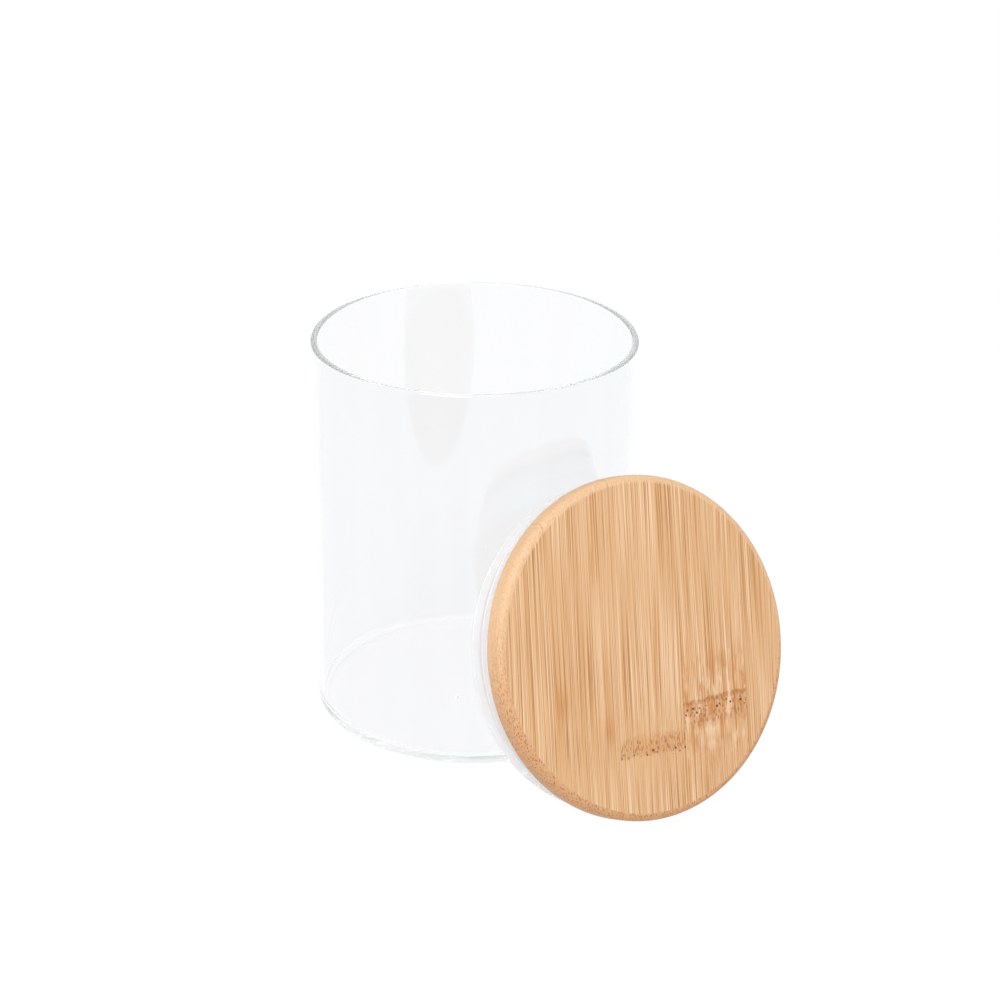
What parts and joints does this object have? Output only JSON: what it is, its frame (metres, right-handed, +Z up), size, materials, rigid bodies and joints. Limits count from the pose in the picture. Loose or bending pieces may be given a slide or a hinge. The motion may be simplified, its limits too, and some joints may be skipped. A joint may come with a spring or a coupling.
{
  "type": "candle jar with lid",
  "caption": "Straight-walled clear glass candle jar, empty, with a laminated bamboo plug lid and a soft seal; the lid leans on the jar.",
  "frame": {"origin": "centre of the jar's flat base, on the surface it stands on", "axes": "+Z up along the jar's axis, -Y towards the front; the lid leans on the jar's front right side"},
  "size_m": [0.1432, 0.1517, 0.122],
  "materials": {
    "glass": "clear, fire-polished",
    "silicone": "translucent, satin",
    "bamboo": "sanded, thin matte oil"
  },
  "bodies": {
    "jar": {"glass_jar": "glass"},
    "lid": {"seal_ring": "silicone", "cap_strip_1": "bamboo", "cap_strip_2": "bamboo", "cap_strip_3": "bamboo", "cap_strip_4": "bamboo", "cap_strip_5": "bamboo", "core_strip_1": "bamboo", "core_strip_2": "bamboo", "core_strip_3": "bamboo", "core_strip_4": "bamboo", "core_strip_5": "bamboo", "plug_strip_1": "bamboo", "plug_strip_2": "bamboo", "plug_strip_3": "bamboo", "plug_strip_4": "bamboo", "plug_strip_5": "bamboo"}
  },
  "joints": [
    {"name": "lid_tip", "type": "hinge", "parent": "jar", "child": "lid", "pos_m": [0.05933, -0.08186, 0.00477], "axis": [0.8241, 0.5664, 0], "range_deg": [0, 112.8]}
  ]
}
